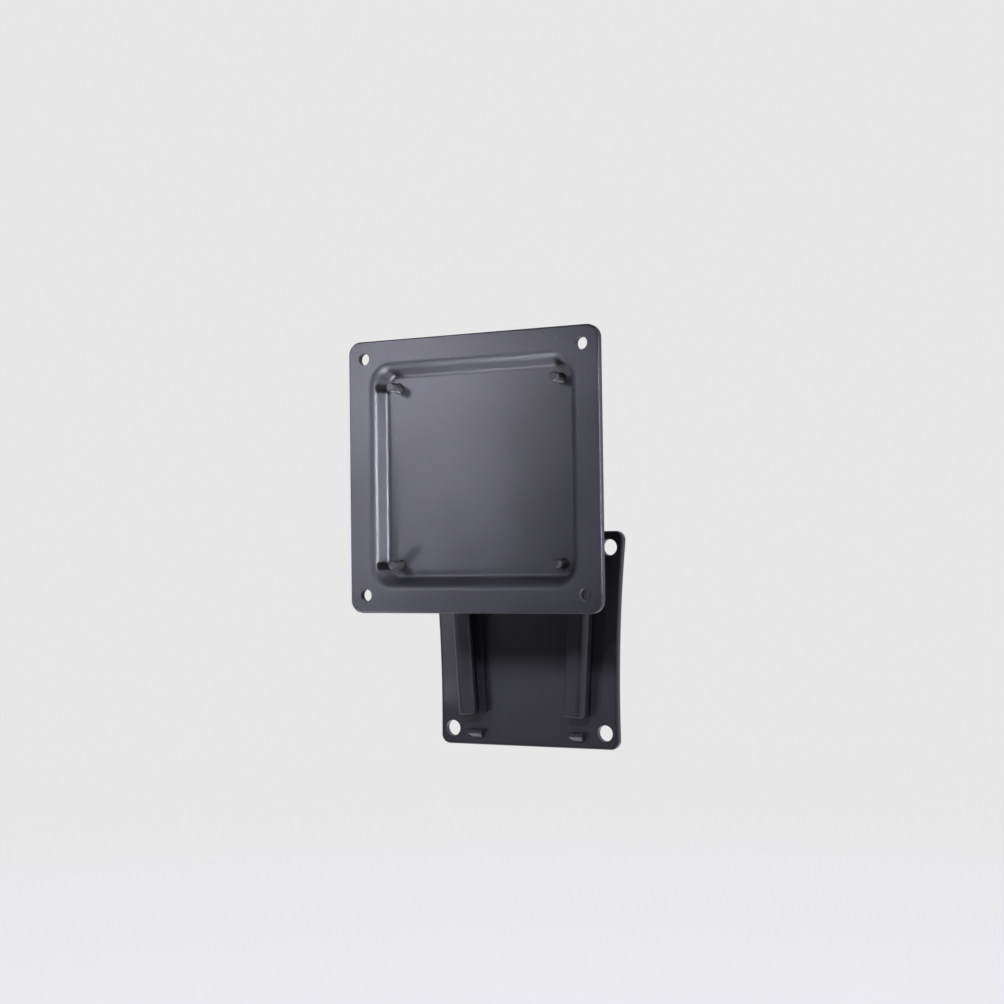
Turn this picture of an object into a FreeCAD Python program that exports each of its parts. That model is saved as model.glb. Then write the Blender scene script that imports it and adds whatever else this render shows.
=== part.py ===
# Two-plate drop-in screen mount: dished screen plate, wall plate, rails, brackets and screws.
# Millimetres. The origin is the centre of the wall plate's back, which lies on the wall.
# X is right, Z is up and Y goes into the wall, so a distance out from the wall is a negative Y.
import math
import os

import FreeCAD
import Part

# Wall plate
WALL_SHEET = 3.0
WALL_HOLE_LOW_X = 73.0
WALL_HOLE_HIGH_X = 79.5
WALL_HOLE_Z = 79.5
WALL_HOLE_DIA = 7.0
WALL_MARGIN_X = 6.5
WALL_MARGIN_Z = 7.0
WALL_CORNER = 4.0
WALL_WAIST = 1.6
WALL_EDGE_ROUND = 1.3

# Guide rails, bent from strip and standing on the wall plate
RAIL_SHEET = 2.8
RAIL_TAPER = 3.4
RAIL_INSET = 8.9
RAIL_LIP = 6.2
RAIL_FOOT_PAST_LIP = 2.5
RAIL_LOW_GAP = 7.0
RAIL_HIGH_GAP = 6.0
RAIL_BEND = 0.6
RAIL_END_ROUND = 1.8
RAIL_EDGE_BREAK = 0.5

# Stop lugs pressed out of the wall plate below the rails, hollow at the back
LUG_BELOW_RAIL = 7.0
LUG_PAST_LIP = 3.0
LUG_WIDTH = 7.4
LUG_LOW_WIDTH = 5.4
LUG_TALL = 4.4
LUG_LEDGE = 1.5
LUG_CATCH = 1.6
LUG_SKIN = 1.4
LUG_ROUND = 1.3

# Screen plate and the dish drawn into it
SCREEN_FRONT = 55.0
SCREEN_SHEET = 3.0
SCREEN_HOLE_SPACING = 100.0
SCREEN_HOLE_DIA = 5.2
SCREEN_MARGIN = 7.5
SCREEN_CORNER = 5.5
SCREEN_EDGE_ROUND = 0.8
DISH_LAND = 4.5
DISH_DEPTH = 8.0
DISH_DRAFT = 17.0
DISH_CORNER = 8.0
DISH_RIM_ROUND = 3.6
DISH_FLOOR_ROUND = 2.0

# Bracket screws, put in from the back
SCREW_INSET = 8.0
SCREW_DIA = 4.0
SCREW_HOLE_GAP = 0.3
SCREW_HEAD_DIA = 8.0
SCREW_HEAD_TALL = 2.8
SCREW_HEAD_BREAK = 0.7
SCREW_SOCKET_FLATS = 2.5
SCREW_SOCKET_DEPTH = 1.5
SCREW_TIP_BELOW_FRONT = 0.2
SCREW_TIP_CHAMFER = 0.4

# Slide brackets, bent from strip behind the screen plate
BRACKET_SHEET = 3.0
BRACKET_PAST_SCREW = 10.5
BRACKET_BRIM_PAST_SCREW = 5.5
BRACKET_BEND = 0.6
BRACKET_CORNER = 2.0

# Running clearances, and how far the brackets are still in the rails as shown
SLIDE_GAP = 0.3
SIDE_GAP = 0.5
SEAT_GAP = 0.3
LIP_GAP = 1.9
SHOWN_GRIP = 11.0

# A cutter passes a face by this much, and a rounding takes at most this share of its wall
PAST = 1.0
SHARE = 0.45

# Places that follow from the sizes
TAPER = math.tan(math.radians(RAIL_TAPER))
WALL_HOLE_MID_X = (WALL_HOLE_LOW_X + WALL_HOLE_HIGH_X) / 4
WALL_SPREAD = (WALL_HOLE_HIGH_X - WALL_HOLE_LOW_X) / 2 / WALL_HOLE_Z
RAIL_WALL_X = WALL_HOLE_MID_X - RAIL_INSET
RAIL_OUT_X = RAIL_WALL_X + RAIL_SHEET
RAIL_LIP_X = RAIL_WALL_X - RAIL_LIP
RAIL_FOOT_X = RAIL_LIP_X - RAIL_FOOT_PAST_LIP
RAIL_BOTTOM = RAIL_LOW_GAP - WALL_HOLE_Z / 2
RAIL_TOP = WALL_HOLE_Z / 2 - RAIL_HIGH_GAP
RAIL_FOOT_FACE = WALL_SHEET + RAIL_SHEET
RAIL_LIP_BACK = RAIL_FOOT_FACE + BRACKET_SHEET + 2 * SLIDE_GAP
RAIL_FRONT = RAIL_LIP_BACK + RAIL_SHEET
LIP_LOW_X = RAIL_LIP_X + RAIL_BOTTOM * TAPER
FLANGE_BACK = RAIL_FOOT_FACE + SLIDE_GAP
LUG_X = LIP_LOW_X + LUG_PAST_LIP
LUG_TOP = RAIL_BOTTOM - LUG_BELOW_RAIL
LUG_FRONT = FLANGE_BACK + LUG_CATCH
DISH_HALF = SCREEN_HOLE_SPACING / 2 - DISH_LAND
DISH_BACK = SCREEN_FRONT - DISH_DEPTH - SCREEN_SHEET
SCREW_AT = DISH_HALF - SCREW_INSET
SCREW_HOLE_DIA = SCREW_DIA + 2 * SCREW_HOLE_GAP
SCREW_SEAT = DISH_BACK - BRACKET_SHEET
BRACKET_HALF = SCREW_AT + BRACKET_PAST_SCREW
BRACKET_WALL_X = LIP_LOW_X - LIP_GAP
BRACKET_IN_X = BRACKET_WALL_X - BRACKET_SHEET
BRIM_X = SCREW_AT + BRACKET_BRIM_PAST_SCREW
SEAT_Z = LUG_TOP + SEAT_GAP + BRACKET_HALF
SCREEN_Z = RAIL_TOP - SHOWN_GRIP + BRACKET_HALF
FLANGE_X = RAIL_WALL_X + SEAT_Z * TAPER - SIDE_GAP


def point(x, out, z):
    # A point given by its distance out from the wall
    return FreeCAD.Vector(x, -out, z)


def near(value, target):
    return abs(value - target) < 1e-4


def polygon_face(points):
    return Part.Face(Part.makePolygon(points + points[:1]))


def edges_where(shape, test):
    # Edges whose ends all pass the test
    return [e for e in shape.Edges if all(test(v.Point) for v in e.Vertexes)]


def runs_along(edge, direction):
    # True for a straight edge along the given direction
    ends = [v.Point for v in edge.Vertexes]
    return len(ends) == 2 and near((ends[1] - ends[0]).cross(direction).Length, 0)


def edges_along_y(shape):
    return [e for e in shape.Edges if runs_along(e, FreeCAD.Vector(0, 1, 0))]


def round_bends(shape, radius, x):
    # Rounds the edges that run the length of a bent strip at the given X
    up = FreeCAD.Vector(0, 0, 1)
    found = edges_where(shape, lambda p: near(p.x, x))
    return shape.makeFillet(radius, [e for e in found if runs_along(e, up)])


def peg(dia, x, z, out_from, out_to):
    # A cylinder square to the wall
    return Part.makeCylinder(dia / 2, out_to - out_from, point(x, out_from, z), FreeCAD.Vector(0, -1, 0))


def rounded_square(half, flat, out):
    # A square outline with round corners centred on plus and minus flat, parallel to the wall
    turn = (half - flat) * math.sqrt(0.5)
    top = Part.makeLine(point(-flat, out, half), point(flat, out, half))
    corner = Part.Arc(
        point(flat, out, half), point(flat + turn, out, flat + turn), point(half, out, flat)
    ).toShape()
    edges = []
    for quarter in range(4):
        for edge in (top, corner):
            turned = edge.copy()
            turned.rotate(point(0, out, 0), FreeCAD.Vector(0, 1, 0), 90 * quarter)
            edges.append(turned)
    return Part.Wire(Part.__sortEdges__(edges))


def lug_wedge(x, half, low_half, front, top, ledge, low, back):
    # A ledge whose underside slopes back to the plate as its sides close in
    side = [
        point(x - half, back, top),
        point(x - half, front, top),
        point(x - half, front, top - ledge),
        point(x - half, WALL_SHEET, low),
        point(x - half, back, low),
    ]
    outline = [
        point(x - half, back, top),
        point(x + half, back, top),
        point(x + low_half, back, low),
        point(x - low_half, back, low),
    ]
    wedge = polygon_face(side).extrude(FreeCAD.Vector(2 * half, 0, 0))
    return wedge.common(polygon_face(outline).extrude(point(0, front - back, 0)))


def make_lug(x):
    low = LUG_TOP - LUG_TALL
    low_half = LUG_LOW_WIDTH / 2
    lug = lug_wedge(x, LUG_WIDTH / 2, low_half, LUG_FRONT, LUG_TOP, LUG_LEDGE, low, WALL_SHEET / 2)
    brow = edges_where(lug, lambda p: near(p.y, -LUG_FRONT) or near(p.z, low) and near(p.y, -WALL_SHEET))
    across = FreeCAD.Vector(1, 0, 0)
    return lug.makeFillet(LUG_ROUND, [e for e in brow if not runs_along(e, across)])


def make_lug_hollow(x):
    # The hollow keeps a skin all round and is as flat on top as the lug
    half = LUG_WIDTH / 2 - LUG_SKIN
    low_half = LUG_LOW_WIDTH / 2 - LUG_SKIN
    top = LUG_TOP - LUG_SKIN
    low = LUG_TOP - LUG_TALL + LUG_SKIN
    return lug_wedge(x, half, low_half, LUG_FRONT - 2 * LUG_SKIN, top, LUG_LEDGE / 4, low, -PAST)


def wall_half_width(z):
    # Half the plate's width, which grows with height as the rails part
    return WALL_HOLE_MID_X + WALL_MARGIN_X + z * WALL_SPREAD


def make_wall_plate():
    half_h = WALL_HOLE_Z / 2 + WALL_MARGIN_Z
    low = wall_half_width(-half_h)
    waist = wall_half_width(0) - WALL_WAIST
    high = wall_half_width(half_h)
    right = Part.Arc(point(low, 0, -half_h), point(waist, 0, 0), point(high, 0, half_h))
    left = Part.Arc(point(-high, 0, half_h), point(-waist, 0, 0), point(-low, 0, -half_h))
    top = Part.makeLine(point(high, 0, half_h), point(-high, 0, half_h))
    bottom = Part.makeLine(point(-low, 0, -half_h), point(low, 0, -half_h))
    outline = Part.Wire([right.toShape(), top, left.toShape(), bottom])
    plate = Part.Face(outline).extrude(point(0, WALL_SHEET, 0))
    plate = plate.makeFillet(WALL_CORNER, edges_along_y(plate))
    plate = plate.makeFillet(WALL_EDGE_ROUND, edges_where(plate, lambda p: near(p.y, -WALL_SHEET)))
    for side in (-1, 1):
        plate = plate.fuse(make_lug(side * LUG_X)).cut(make_lug_hollow(side * LUG_X))
        for end, spacing in ((-1, WALL_HOLE_LOW_X), (1, WALL_HOLE_HIGH_X)):
            hole = peg(WALL_HOLE_DIA, side * spacing / 2, end * WALL_HOLE_Z / 2, -PAST, WALL_SHEET + PAST)
            plate = plate.cut(hole)
    return plate.removeSplitter()


def make_right_rail():
    middle = (RAIL_TOP + RAIL_BOTTOM) / 2
    half = (RAIL_TOP - RAIL_BOTTOM) / 2
    corners = [
        (RAIL_FOOT_X, WALL_SHEET),
        (RAIL_OUT_X, WALL_SHEET),
        (RAIL_OUT_X, RAIL_FRONT),
        (RAIL_LIP_X, RAIL_FRONT),
        (RAIL_LIP_X, RAIL_LIP_BACK),
        (RAIL_WALL_X, RAIL_LIP_BACK),
        (RAIL_WALL_X, RAIL_FOOT_FACE),
        (RAIL_FOOT_X, RAIL_FOOT_FACE),
    ]
    section = polygon_face([point(x, out, -half) for x, out in corners])
    rail = section.extrude(FreeCAD.Vector(0, 0, 2 * half))
    rail = round_bends(rail, RAIL_BEND + RAIL_SHEET, RAIL_OUT_X)
    rail = round_bends(rail, RAIL_BEND, RAIL_WALL_X)
    free = [e for e in edges_along_y(rail) if e.BoundBox.XMax < RAIL_LIP_X + RAIL_BEND]
    rail = rail.makeFillet(RAIL_END_ROUND, free)
    lip_edge = edges_where(rail, lambda p: near(p.y, -RAIL_FRONT) and near(p.x, RAIL_LIP_X))
    rail = rail.makeChamfer(RAIL_EDGE_BREAK, lip_edge)
    rail.translate(FreeCAD.Vector(middle * TAPER, 0, middle))
    rail.rotate(point(RAIL_WALL_X + middle * TAPER, 0, middle), FreeCAD.Vector(0, 1, 0), RAIL_TAPER)
    return rail


def make_right_bracket():
    flange_wide = FLANGE_X + BRACKET_HALF * TAPER
    corners = [
        (BRACKET_IN_X, FLANGE_BACK),
        (flange_wide, FLANGE_BACK),
        (flange_wide, FLANGE_BACK + BRACKET_SHEET),
        (BRACKET_WALL_X, FLANGE_BACK + BRACKET_SHEET),
        (BRACKET_WALL_X, SCREW_SEAT),
        (BRIM_X, SCREW_SEAT),
        (BRIM_X, DISH_BACK),
        (BRACKET_IN_X, DISH_BACK),
    ]
    section = polygon_face([point(x, out, -BRACKET_HALF) for x, out in corners])
    bracket = section.extrude(FreeCAD.Vector(0, 0, 2 * BRACKET_HALF))
    bracket = round_bends(bracket, BRACKET_BEND + BRACKET_SHEET, BRACKET_IN_X)
    bracket = round_bends(bracket, BRACKET_BEND, BRACKET_WALL_X)
    reach = BRACKET_HALF + PAST
    start = FLANGE_BACK - PAST
    wedge = polygon_face([
        point(FLANGE_X - reach * TAPER, start, -reach),
        point(flange_wide + PAST, start, -reach),
        point(flange_wide + PAST, start, reach),
        point(FLANGE_X + reach * TAPER, start, reach),
    ])
    bracket = bracket.cut(wedge.extrude(point(0, BRACKET_SHEET + 2 * PAST, 0)))
    free = [e for e in edges_along_y(bracket) if e.BoundBox.XMin > BRACKET_WALL_X + BRACKET_SHEET]
    bracket = bracket.makeFillet(BRACKET_CORNER, free)
    for end in (-1, 1):
        hole = peg(SCREW_HOLE_DIA, SCREW_AT, end * SCREW_AT, SCREW_SEAT - PAST, DISH_BACK + PAST)
        bracket = bracket.cut(hole)
    bracket.translate(FreeCAD.Vector(0, 0, SCREEN_Z))
    return bracket


def dish_half(out):
    # Half the dish's width at a distance out from the wall
    return DISH_HALF - (SCREEN_FRONT - out) * math.tan(math.radians(DISH_DRAFT))


def make_screen_plate():
    back = SCREEN_FRONT - SCREEN_SHEET
    floor = SCREEN_FRONT - DISH_DEPTH
    flat = DISH_HALF - DISH_CORNER
    side = SCREEN_SHEET / math.cos(math.radians(DISH_DRAFT))
    half = SCREEN_HOLE_SPACING / 2 + SCREEN_MARGIN
    square = [(-half, -half), (half, -half), (half, half), (-half, half)]
    plate = polygon_face([point(x, back, z) for x, z in square]).extrude(point(0, SCREEN_SHEET, 0))
    plate = plate.makeFillet(SCREEN_CORNER, edges_along_y(plate))
    plate = plate.makeFillet(SCREEN_EDGE_ROUND, edges_where(plate, lambda p: near(p.y, -SCREEN_FRONT)))
    boss = Part.makeLoft([
        rounded_square(dish_half(back) + side, flat, back),
        rounded_square(dish_half(DISH_BACK) + side, flat, DISH_BACK),
    ], True, True)
    dish = Part.makeLoft([
        rounded_square(dish_half(SCREEN_FRONT + PAST), flat, SCREEN_FRONT + PAST),
        rounded_square(dish_half(floor), flat, floor),
    ], True, True)
    plate = plate.fuse(boss).cut(dish).removeSplitter()
    wall_room = SHARE * DISH_DEPTH / math.tan(math.radians(45 - DISH_DRAFT / 2))
    floor_round = min(DISH_FLOOR_ROUND, wall_room, SHARE * (dish_half(floor) - flat))
    boss_round = min(floor_round + SCREEN_SHEET, wall_room)
    for out, radius in (
        (SCREEN_FRONT, min(DISH_RIM_ROUND, wall_room)),
        (floor, floor_round),
        (DISH_BACK, boss_round),
    ):
        level = edges_where(plate, lambda p: near(p.y, -out))
        inner = [e for e in level if max(abs(e.BoundBox.XMin), abs(e.BoundBox.XMax)) < SCREEN_HOLE_SPACING / 2]
        plate = plate.makeFillet(radius, inner)
    for sx in (-1, 1):
        for sz in (-1, 1):
            at = SCREEN_HOLE_SPACING / 2
            hole = peg(SCREEN_HOLE_DIA, sx * at, sz * at, back - PAST, SCREEN_FRONT + PAST)
            tapped = peg(SCREW_HOLE_DIA, sx * SCREW_AT, sz * SCREW_AT, DISH_BACK - PAST, floor + PAST)
            plate = plate.cut(hole).cut(tapped)
    plate.translate(FreeCAD.Vector(0, 0, SCREEN_Z))
    return plate


def make_screw(x, z):
    top = SCREW_SEAT - SCREW_HEAD_TALL
    tip = SCREEN_FRONT - SCREW_TIP_BELOW_FRONT
    head = peg(SCREW_HEAD_DIA, x, z, top, SCREW_SEAT)
    head = head.makeChamfer(SCREW_HEAD_BREAK, edges_where(head, lambda p: near(p.y, -top))[:1])
    reach = SCREW_SOCKET_FLATS / math.sqrt(3)
    turns = [math.radians(60 * i) for i in range(6)]
    socket = polygon_face([point(x + reach * math.cos(a), top, z + reach * math.sin(a)) for a in turns])
    head = head.cut(socket.extrude(point(0, SCREW_SOCKET_DEPTH, 0)))
    shank = peg(SCREW_DIA, x, z, SCREW_SEAT, tip)
    shank = shank.makeChamfer(SCREW_TIP_CHAMFER, edges_where(shank, lambda p: near(p.y, -tip))[:1])
    return head.fuse(shank).removeSplitter()


def mirrored(shape):
    return shape.mirror(FreeCAD.Vector(0, 0, 0), FreeCAD.Vector(1, 0, 0))


right_rail = make_right_rail()
right_bracket = make_right_bracket()
screws = [make_screw(sx * SCREW_AT, SCREEN_Z + sz * SCREW_AT) for sx in (-1, 1) for sz in (-1, 1)]

pieces = {
    "wall_plate": make_wall_plate(),
    "right_guide_rail": right_rail,
    "left_guide_rail": mirrored(right_rail),
    "screen_plate": make_screen_plate(),
    "right_slide_bracket": right_bracket,
    "left_slide_bracket": mirrored(right_bracket),
    "bracket_screws": Part.makeCompound(screws),
}

os.makedirs("parts", exist_ok=True)
for name, shape in pieces.items():
    shape.exportStep("parts/" + name + ".step")
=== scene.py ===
# Drop-in screen mount: black paint on the plates, rails and brackets, and threaded steel screws
import math

import bmesh
import bpy
from mathutils import Matrix, Vector


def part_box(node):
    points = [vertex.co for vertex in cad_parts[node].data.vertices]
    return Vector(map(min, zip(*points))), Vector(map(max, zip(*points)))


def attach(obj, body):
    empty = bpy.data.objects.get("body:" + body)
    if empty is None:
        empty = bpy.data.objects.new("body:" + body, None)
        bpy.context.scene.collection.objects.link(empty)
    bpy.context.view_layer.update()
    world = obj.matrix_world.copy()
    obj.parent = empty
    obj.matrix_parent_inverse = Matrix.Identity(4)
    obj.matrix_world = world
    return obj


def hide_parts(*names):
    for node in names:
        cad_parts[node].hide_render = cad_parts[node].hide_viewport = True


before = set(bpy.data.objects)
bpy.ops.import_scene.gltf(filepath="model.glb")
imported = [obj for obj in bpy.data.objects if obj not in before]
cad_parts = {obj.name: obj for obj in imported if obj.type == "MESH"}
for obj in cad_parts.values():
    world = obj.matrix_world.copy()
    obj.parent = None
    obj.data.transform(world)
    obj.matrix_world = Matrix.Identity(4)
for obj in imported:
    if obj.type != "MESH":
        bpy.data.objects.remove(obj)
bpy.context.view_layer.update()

MM = 0.001
SCREEN_SIDE = ("screen_plate", "left_slide_bracket", "right_slide_bracket")
WALL_SIDE = ("wall_plate", "left_guide_rail", "right_guide_rail")

# Camera, placed from the plate holes in the photograph: metres, degrees, and millimetres for the lens
CAMERA_AT = Vector((0.2927, -0.6318, 0.0362))
CAMERA_YAW = -25.77
CAMERA_PITCH = 1.99
CAMERA_ROLL = -0.77
CAMERA_LENS = 56.69
CAMERA_NEAREST = 0.01
SENSOR = 36.0

# Backdrop: how bright it shows, and its light from each side; a pair is where that light starts and is full
BACKDROP = 0.80
RIGHT_LIGHT = 0.55
RIGHT_FROM = (0.3, 0.75)
LEFT_LIGHT = 0.45
LEFT_FROM = (0.75, 0.95)
BACK_LIGHT = 0.35
BACK_FROM = (0.2, 0.7)
TOP_LIGHT = 0.9
TOP_FROM = (0.4, 0.8)
TOP_BEHIND = (0.1, 0.4)
LIGHT_TINT = (0.95, 0.945, 1.10)
WHITE = (1.0, 1.0, 1.0, 1.0)

# Floor, in metres: how bright it shows, and the glow from beside and behind the mount
FLOOR_RADIUS = 2.4
FLOOR_SIDES = 96
FLOOR_HEIGHT = -0.40
FLOOR_FADE = (0.7, 2.2)
FLOOR_COLOUR = (0.80, 0.80, 0.80, 1.0)
FLOOR_SEEN = 0.55
FLOOR_GLOW = 0.7
FLOOR_GLOW_FROM = (-0.15, 0.25)

# Where the lights aim: lengths on the screen plate and the wall plate
KEY_LEFT = 50.0 * MM
KEY_UP = 36.0 * MM
CORNER_IN = 12.0 * MM
CORNER_UP = 25.0 * MM
DISH_EDGE = 13.0 * MM
DISH_MIDDLE = 4.0 * MM
WALL_SHEET = 3.0 * MM
WALL_LOW = 28.0 * MM
WALL_STRIP_LEFT = 42.0 * MM
WALL_STRIP_LOW = 5.0 * MM

# Patterns in the paint and the steel: scale, detail and roughness of a noise
CLOUD = (28.0, 3.0, 0.5)
PEEL = (620.0, 2.0, 0.55)
GRAIN = (2600.0, 1.0, 0.5)
STEEL_CLOUD = (420.0, 3.0, 0.5)
TOOL_MARKS = (3000.0, 2.0, 0.5)

# Dust specks in the paint
DUST_SCALE = 330.0
DUST_EDGE = (0.05, 0.12)
DUST_RARITY = 0.975
DUST_STRENGTH = 0.22
DUST_COLOUR = (0.32, 0.31, 0.30, 1.0)

# Paint: the darker and lighter shade on each half, how rough and how uneven it is, and the clear coat
SHADE_EDGE = (0.3, 0.7)
# The screen side's shades are lighter than the wall side's, though both halves wear one paint: painted
# light
SATIN_SHADES_WITH_PAINTED_LIGHT = ((0.027, 0.027, 0.032, 1.0), (0.036, 0.036, 0.042, 1.0))
GLOSS_SHADES = ((0.019, 0.019, 0.023, 1.0), (0.026, 0.026, 0.031, 1.0))
PAINT_ROUGHNESS = 0.40
CLOUD_ROUGHNESS = 0.06
GRAIN_ROUGHNESS = 0.04
DUST_ROUGHNESS = 0.2
PEEL_HEIGHT = 0.8
GRAIN_HEIGHT = 0.2
DUST_HEIGHT = 0.25
PAINT_RELIEF = {"Strength": 0.07, "Distance": 0.0004}
PAINT_IOR = 1.5
SCREEN_COAT = 0.0
WALL_COAT = 0.6
COAT_ROUGHNESS = 0.06

# Screw steel
STEEL_SHADES = ((0.020, 0.019, 0.020, 1.0), (0.042, 0.040, 0.041, 1.0))
STEEL_ROUGHNESS = 0.34
STEEL_CLOUD_ROUGHNESS = 0.15
TOOL_MARK_ROUGHNESS = 0.1
STEEL_RELIEF = {"Strength": 0.15, "Distance": 0.0002}
STEEL_SHINE = 0.35

# Screws: pattern, thread, head and socket; the thread's rows are counted per turn
SCREW_SPACING = 75.0 * MM
SCREW_SIDES = 48
SCREW_PITCH = 0.7 * MM
SCREW_MAJOR = 2.0 * MM
SCREW_MINOR = 1.6 * MM
THREAD_ROWS = 8
THREAD_SLOPE = 2.6
THREAD_CREST = 1.25
TIP_BREAK = 0.45 * MM
HEAD_RADIUS = 4.0 * MM
HEAD_TALL = 2.8 * MM
HEAD_BREAK = 0.7 * MM
HEAD_BREAK_IN = 0.3
HEAD_BREAK_DOWN = 0.35
HEAD_FOOT_BREAK = 0.1 * MM
SOCKET_FLATS = 2.5 * MM
SOCKET_DEPTH = 1.5 * MM
SOCKET_BREAK = 0.12 * MM
SHARP_ANGLE = 32.0


class Value:
    # A node's socket that takes part in ordinary arithmetic

    def __init__(self, tree, socket):
        self.tree = tree
        self.socket = socket

    def _math(self, operation, *values):
        return self.tree.add("ShaderNodeMath", {"operation": operation}, dict(enumerate(values)))[0]

    def __add__(self, other):
        return self._math("ADD", self, other)

    def __radd__(self, other):
        return self._math("ADD", other, self)

    def __sub__(self, other):
        return self._math("SUBTRACT", self, other)

    def __rsub__(self, other):
        return self._math("SUBTRACT", other, self)

    def __mul__(self, other):
        return self._math("MULTIPLY", self, other)

    def __rmul__(self, other):
        return self._math("MULTIPLY", other, self)

    def over(self, level):
        # One where the value is above the level, and nought elsewhere
        return self._math("GREATER_THAN", self, level)

    def ramp(self, low, high):
        # Runs from nought at low to one at high, smoothly
        settings = {"interpolation_type": "SMOOTHSTEP"}
        inputs = {"Value": self, "From Min": low, "From Max": high, "To Min": 0.0, "To Max": 1.0}
        return self.tree.add("ShaderNodeMapRange", settings, inputs)[0]


class Tree:
    # One node tree, with a single way of adding any node

    def __init__(self, tree):
        self.tree = tree
        tree.nodes.clear()

    def add(self, kind, settings=None, inputs=None):
        # Sets the node's settings first, then the values or links of its sockets
        node = self.tree.nodes.new(kind)
        for name, value in (settings or {}).items():
            setattr(node, name, value)
        for key, value in (inputs or {}).items():
            if isinstance(value, Value):
                self.tree.links.new(value.socket, node.inputs[key])
            else:
                node.inputs[key].default_value = value
        return [Value(self, out) for out in node.outputs]


class Shader(Tree):
    # A tree of shading nodes, with the few that the finishes share

    def place(self):
        # Object coordinates
        return self.add("ShaderNodeTexCoord")[3]

    def axes(self, vector):
        return self.add("ShaderNodeSeparateXYZ", None, {"Vector": vector})

    def noise(self, place, pattern):
        scale, detail, rough = pattern
        inputs = {"Vector": place, "Scale": scale, "Detail": detail, "Roughness": rough}
        return self.add("ShaderNodeTexNoise", None, inputs)[0]

    def blend(self, factor, first, second):
        # Mixes two colours, whose sockets come after those for numbers and vectors
        settings = {"data_type": "RGBA", "blend_type": "MIX"}
        return self.add("ShaderNodeMix", settings, {0: factor, 6: first, 7: second})[2]

    def relief(self, height, sizes):
        return self.add("ShaderNodeBump", None, {"Height": height, **sizes})[0]

    def seen(self):
        # One for what the camera sees itself, and nought for reflections and lighting
        return self.add("ShaderNodeLightPath")[0]

    def finish(self, inputs):
        surface = self.add("ShaderNodeBsdfPrincipled", None, inputs)[0]
        self.add("ShaderNodeOutputMaterial", None, {"Surface": surface})


def new_material(name):
    material = bpy.data.materials.new(name)
    material.use_nodes = True
    return material, Shader(material.node_tree)


def black_paint(name, coat, shades):
    # Satin black paint with a few dust specks, under a clear coat of the given weight
    material, shader = new_material(name)
    place = shader.place()
    cloud = shader.noise(place, CLOUD)
    peel = shader.noise(place, PEEL)
    grain = shader.noise(place, GRAIN)
    cells = shader.add("ShaderNodeTexVoronoi", {"feature": "F1"}, {"Vector": place, "Scale": DUST_SCALE})
    chance = shader.add("ShaderNodeSeparateColor", None, {"Color": cells[1]})[0]
    dust = (1.0 - cells[0].ramp(*DUST_EDGE)) * chance.over(DUST_RARITY)
    tint = shader.blend(cloud.ramp(*SHADE_EDGE), *shades)
    rough = PAINT_ROUGHNESS + cloud * CLOUD_ROUGHNESS + grain * GRAIN_ROUGHNESS + dust * DUST_ROUGHNESS
    height = peel * PEEL_HEIGHT + grain * GRAIN_HEIGHT + dust * DUST_HEIGHT
    shader.finish({
        "Base Color": shader.blend(dust * DUST_STRENGTH, tint, DUST_COLOUR),
        "Roughness": rough,
        "Normal": shader.relief(height, PAINT_RELIEF),
        "IOR": PAINT_IOR,
        "Coat Weight": coat - dust * coat,
        "Coat Roughness": COAT_ROUGHNESS,
        "Coat IOR": PAINT_IOR,
    })
    return material


def dark_screw_steel():
    # Dark plated steel with fine tool marks
    material, shader = new_material("dark_screw_steel")
    place = shader.place()
    cloud = shader.noise(place, STEEL_CLOUD)
    tool_marks = shader.noise(place, TOOL_MARKS)
    shader.finish({
        "Base Color": shader.blend(cloud.ramp(*SHADE_EDGE), *STEEL_SHADES),
        "Roughness": STEEL_ROUGHNESS + cloud * STEEL_CLOUD_ROUGHNESS + tool_marks * TOOL_MARK_ROUGHNESS,
        "Normal": shader.relief(tool_marks, STEEL_RELIEF),
        "Specular IOR Level": STEEL_SHINE,
    })
    return material


def screw_turns():
    # Angles of the points of each ring
    return [2 * math.pi * side / SCREW_SIDES for side in range(SCREW_SIDES)]


def thread_rings(length):
    # The threaded shank from its tip, at nought; each ring is a list of (radius, height)
    rings = []
    rows = int(length / (SCREW_PITCH / THREAD_ROWS))
    for row in range(rows + 1):
        height = row * length / rows
        tip_limit = min(SCREW_MAJOR, SCREW_MAJOR - TIP_BREAK + height)
        ring = []
        for turn in screw_turns():
            phase = (height / SCREW_PITCH - turn / (2 * math.pi)) % 1.0
            flank = max(0.0, 1.0 - abs(phase - 0.5) * THREAD_SLOPE)
            radius = SCREW_MINOR + (SCREW_MAJOR - SCREW_MINOR) * min(1.0, flank * THREAD_CREST)
            ring.append((min(radius, tip_limit), height))
        rings.append(ring)
    return rings


def head_rings(length):
    # The round head above the shank, and the hexagon socket down to its floor
    top = length + HEAD_TALL
    outline = (
        (HEAD_RADIUS - HEAD_FOOT_BREAK, length),
        (HEAD_RADIUS, length + HEAD_FOOT_BREAK),
        (HEAD_RADIUS, top - HEAD_BREAK),
        (HEAD_RADIUS - HEAD_BREAK * HEAD_BREAK_IN, top - HEAD_BREAK * HEAD_BREAK_DOWN),
        (HEAD_RADIUS - HEAD_BREAK, top),
    )
    rings = [[point] * SCREW_SIDES for point in outline]
    hexagon = []
    for turn in screw_turns():
        across = (turn % (math.pi / 3)) - math.pi / 6
        hexagon.append(SOCKET_FLATS / 2 / math.cos(across))
    for wider, height in ((SOCKET_BREAK, top), (0.0, top - SOCKET_BREAK), (0.0, top - SOCKET_DEPTH)):
        rings.append([(radius + wider, height) for radius in hexagon])
    return rings


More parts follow.
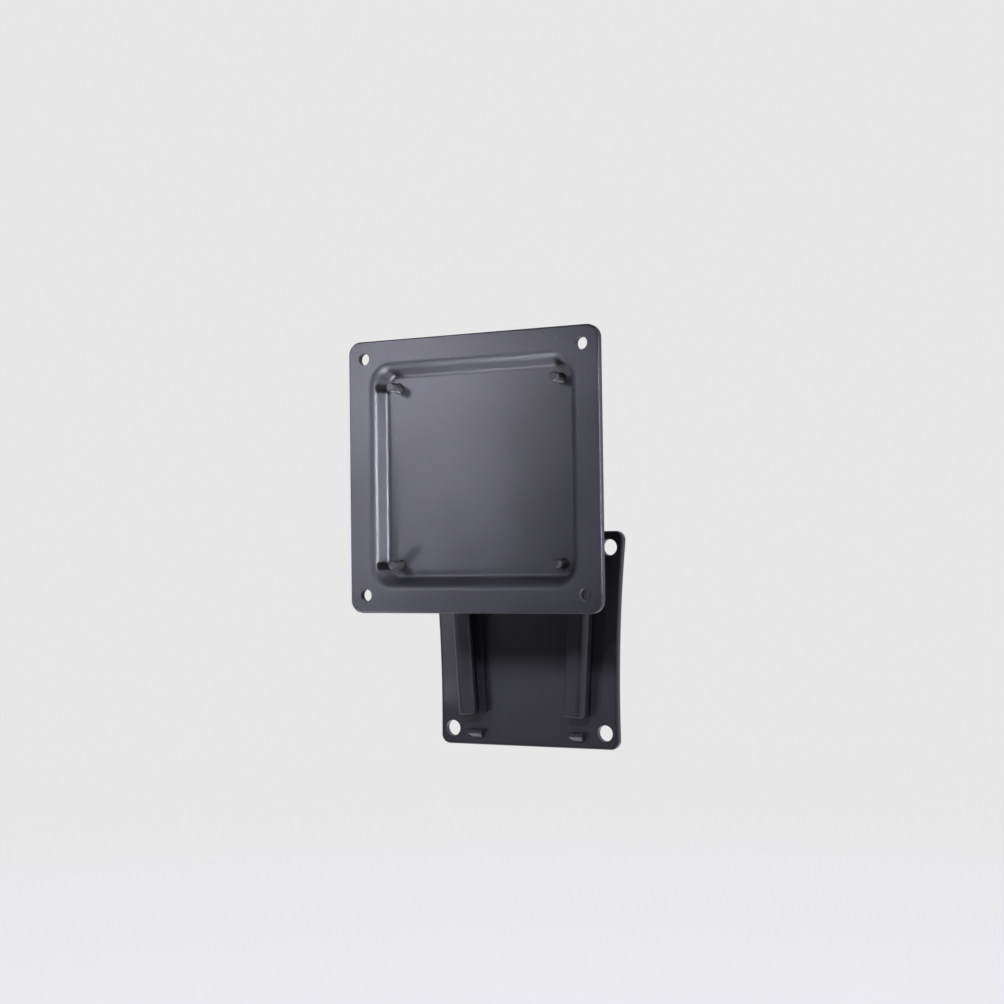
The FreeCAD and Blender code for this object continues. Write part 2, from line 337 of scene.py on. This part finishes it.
def make_screw_mesh(length):
    # One closed screw along Y: the tip is at Y nought, and the head lies towards the wall
    mesh = bpy.data.meshes.new("one_screw")
    work = bmesh.new()
    rows = []
    for ring in thread_rings(length) + head_rings(length):
        row = []
        for turn, (radius, height) in zip(screw_turns(), ring):
            row.append(work.verts.new((radius * math.cos(turn), height, radius * math.sin(turn))))
        rows.append(row)
    for low, high in zip(rows, rows[1:]):
        for i in range(SCREW_SIDES):
            j = (i + 1) % SCREW_SIDES
            work.faces.new((low[i], low[j], high[j], high[i]))
    for row, height in ((rows[0], 0.0), (rows[-1], length + HEAD_TALL - SOCKET_DEPTH)):
        middle = work.verts.new((0.0, height, 0.0))
        for i in range(SCREW_SIDES):
            work.faces.new((row[i], row[(i + 1) % SCREW_SIDES], middle))
    bmesh.ops.recalc_face_normals(work, faces=work.faces)
    work.to_mesh(mesh)
    work.free()
    mesh.shade_smooth()
    mesh.set_sharp_from_angle(angle=math.radians(SHARP_ANGLE))
    return mesh


def screw_set_tree(material):
    # Sets one screw at each corner of an upright square pattern
    group = bpy.data.node_groups.new("screw_set", "GeometryNodeTree")
    kinds = {"Spacing": "NodeSocketFloat", "Centre": "NodeSocketVector", "Screw": "NodeSocketObject"}
    ids = {}
    for name, kind in kinds.items():
        ids[name] = group.interface.new_socket(name, in_out="INPUT", socket_type=kind).identifier
    group.interface.new_socket("Geometry", in_out="OUTPUT", socket_type="NodeSocketGeometry")
    tree = Tree(group)
    spacing, centre, screw = tree.add("NodeGroupInput")[:3]
    grid_inputs = {"Size X": spacing, "Size Y": spacing, "Vertices X": 2, "Vertices Y": 2}
    grid = tree.add("GeometryNodeMeshGrid", None, grid_inputs)[0]
    stand_inputs = {"Geometry": grid, "Translation": centre, "Rotation": (math.pi / 2, 0.0, 0.0)}
    corners = tree.add("GeometryNodeTransform", None, stand_inputs)[0]
    pattern = tree.add("GeometryNodeObjectInfo", None, {"Object": screw, "As Instance": True})[-1]
    placed = tree.add("GeometryNodeInstanceOnPoints", None, {"Points": corners, "Instance": pattern})[0]
    solid = tree.add("GeometryNodeRealizeInstances", None, {"Geometry": placed})[0]
    painted = tree.add("GeometryNodeSetMaterial", None, {"Geometry": solid, "Material": material})[0]
    tree.add("NodeGroupOutput", None, {"Geometry": painted})
    return group, ids


def add_object(name, data):
    item = bpy.data.objects.new(name, data)
    bpy.context.collection.objects.link(item)
    return item


def make_bracket_screws(material):
    # The four screws as one plain mesh, in the place of the smooth ones
    low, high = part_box("bracket_screws")
    plate_low, plate_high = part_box("screen_plate")
    length = high[1] - low[1] - HEAD_TALL
    centre = ((plate_low[0] + plate_high[0]) / 2, low[1], (plate_low[2] + plate_high[2]) / 2)
    one = add_object("one_screw", make_screw_mesh(length))
    group, ids = screw_set_tree(material)
    carrier = add_object("screw_carrier", bpy.data.meshes.new("screw_carrier"))
    setter = carrier.modifiers.new("screw_set", "NODES")
    setter.node_group = group
    setter[ids["Spacing"]] = SCREW_SPACING
    setter[ids["Centre"]] = centre
    setter[ids["Screw"]] = one
    bpy.context.view_layer.update()
    graph = bpy.context.evaluated_depsgraph_get()
    mesh = bpy.data.meshes.new_from_object(carrier.evaluated_get(graph))
    carrier.modifiers.remove(setter)
    bpy.data.objects.remove(carrier)
    bpy.data.objects.remove(one)
    mesh.name = "threaded_bracket_screws"
    screws = add_object("threaded_bracket_screws", mesh)
    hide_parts("bracket_screws")
    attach(screws, "screen_side")


def dress(names, material):
    for name in names:
        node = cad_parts[name]
        node.data.materials.clear()
        node.data.materials.append(material)


def pale_floor():
    # Matt, and clear towards its rim; it shows pale, and glows beside and behind the mount
    material, shader = new_material("pale_floor")
    place = shader.place()
    distance = shader.add("ShaderNodeVectorMath", {"operation": "LENGTH"}, {0: place})[1]
    seen = shader.seen()
    behind = shader.axes(place)[1].ramp(*FLOOR_GLOW_FROM)
    strength = seen * FLOOR_SEEN + behind * (1.0 - seen) * FLOOR_GLOW
    matt = shader.add("ShaderNodeBsdfDiffuse", None, {"Color": FLOOR_COLOUR})[0]
    glow = shader.add("ShaderNodeEmission", None, {"Strength": strength})[0]
    lit = shader.add("ShaderNodeAddShader", None, {0: matt, 1: glow})[0]
    clear = shader.add("ShaderNodeBsdfTransparent")[0]
    mixed = shader.add("ShaderNodeMixShader", None, {0: distance.ramp(*FLOOR_FADE), 1: lit, 2: clear})[0]
    shader.add("ShaderNodeOutputMaterial", None, {"Surface": mixed})
    return material


def make_floor():
    # A pale round floor that fades into the backdrop at its rim
    mesh = bpy.data.meshes.new("floor")
    work = bmesh.new()
    bmesh.ops.create_circle(work, cap_ends=True, radius=FLOOR_RADIUS, segments=FLOOR_SIDES)
    work.to_mesh(mesh)
    work.free()
    mesh.materials.append(pale_floor())
    floor = add_object("floor", mesh)
    floor.location = (0.0, 0.0, FLOOR_HEIGHT)


def make_world():
    # A pale backdrop that gives the object a little light from both sides, from behind and from above
    world = bpy.data.worlds.new("pale_studio")
    world.use_nodes = True
    bpy.context.scene.world = world
    shader = Shader(world.node_tree)
    right, back, up = shader.axes(shader.add("ShaderNodeTexCoord")[0])
    level = right.ramp(*RIGHT_FROM) * RIGHT_LIGHT + (0.0 - right).ramp(*LEFT_FROM) * LEFT_LIGHT
    level = level + back.ramp(*BACK_FROM) * BACK_LIGHT
    level = level + back.ramp(*TOP_BEHIND) * up.ramp(*TOP_FROM) * TOP_LIGHT
    seen = shader.seen()
    strength = level * (1.0 - seen) + seen * BACKDROP
    colour = shader.blend(seen, (*LIGHT_TINT, 1.0), WHITE)
    backdrop = shader.add("ShaderNodeBackground", None, {"Color": colour, "Strength": strength})[0]
    shader.add("ShaderNodeOutputWorld", None, {"Surface": backdrop})


def make_light(name, aim, azimuth, elevation, distance, size, radiance, spread):
    # A soft box that faces a place; azimuth nought is in front of it, and more is to its right
    data = bpy.data.lights.new(name, "AREA")
    data.shape = "RECTANGLE"
    data.size, data.size_y = size
    data.spread = math.radians(spread)
    data.energy = radiance * math.pi * size[0] * size[1]
    data.color = LIGHT_TINT
    light = add_object(name, data)
    light.visible_camera = False
    az = math.radians(azimuth)
    el = math.radians(elevation)
    away = Vector((math.sin(az) * math.cos(el), -math.cos(az) * math.cos(el), math.sin(el)))
    light.location = aim + away * distance
    light.rotation_euler = away.to_track_quat("Z", "Y").to_euler()


def light_studio():
    # A key and grids, two wide cards that the wall side's coat mirrors, and strips on the dish's walls
    low, high = [Vector(corner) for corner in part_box("screen_plate")]
    middle = (low + high) / 2
    depth = low[1] + DISH_MIDDLE
    upper_left = Vector((middle[0] - KEY_LEFT, low[1], middle[2] + KEY_UP))
    lower_left = Vector((low[0] + CORNER_IN, low[1], low[2] + CORNER_UP))
    dish_left = Vector((low[0] + DISH_EDGE, depth, middle[2]))
    dish_top = Vector((middle[0], depth, high[2] - DISH_EDGE))
    wall_low = Vector((middle[0], -WALL_SHEET, -WALL_LOW))
    wall_left = Vector((-WALL_STRIP_LEFT, -WALL_SHEET, -WALL_STRIP_LOW))
    make_light("key", upper_left, azimuth=-27.5, elevation=15.5, distance=0.50,
               size=(0.12, 0.12), radiance=1.06, spread=22.0)
    make_light("lower_left_grid", lower_left, azimuth=-46.0, elevation=-32.0, distance=0.35,
               size=(0.06, 0.06), radiance=1.6, spread=13.5)
    make_light("front_grid", wall_low, azimuth=12.0, elevation=27.0, distance=0.80,
               size=(0.05, 0.05), radiance=1.8, spread=13.0)
    make_light("low_card", wall_low, azimuth=-25.0, elevation=-8.0, distance=0.70,
               size=(0.30, 0.11), radiance=0.5, spread=180.0)
    make_light("left_card", wall_left, azimuth=-32.0, elevation=-1.2, distance=0.734,
               size=(0.135, 0.15), radiance=1.6, spread=180.0)
    make_light("right_strip", dish_left, azimuth=80.0, elevation=0.0, distance=0.30,
               size=(0.01, 0.10), radiance=8.0, spread=13.0)
    make_light("low_strip", dish_top, azimuth=-10.0, elevation=-55.0, distance=0.30,
               size=(0.14, 0.01), radiance=2.8, spread=8.0)
    make_light("under_strip", dish_top, azimuth=0.0, elevation=-80.0, distance=0.30,
               size=(0.14, 0.01), radiance=2.5, spread=8.0)


def make_camera():
    # At the photograph's viewing angle, with plain tones
    data = bpy.data.cameras.new("camera")
    data.sensor_width = SENSOR
    data.lens = CAMERA_LENS
    data.clip_start = CAMERA_NEAREST
    camera = add_object("camera", data)
    yaw = math.radians(CAMERA_YAW)
    pitch = math.radians(CAMERA_PITCH)
    roll = math.radians(CAMERA_ROLL)
    ahead = Vector((math.sin(yaw) * math.cos(pitch), math.cos(yaw) * math.cos(pitch), math.sin(pitch)))
    level = ahead.cross(Vector((0.0, 0.0, 1.0))).normalized()
    above = level.cross(ahead)
    right = level * math.cos(roll) + above * math.sin(roll)
    up = above * math.cos(roll) - level * math.sin(roll)
    turned = Matrix((right, up, -ahead)).transposed()
    camera.matrix_world = Matrix.Translation(CAMERA_AT) @ turned.to_4x4()
    bpy.context.scene.camera = camera
    bpy.context.scene.view_settings.view_transform = "Standard"


make_camera()
make_world()
make_floor()
light_studio()
# The screen side's paint gets the lighter shades, which are painted light on that half
dress(SCREEN_SIDE, black_paint("satin_black_paint_with_painted_light", SCREEN_COAT, SATIN_SHADES_WITH_PAINTED_LIGHT))
dress(WALL_SIDE, black_paint("half_gloss_black_paint", WALL_COAT, GLOSS_SHADES))
make_bracket_screws(dark_screw_steel())
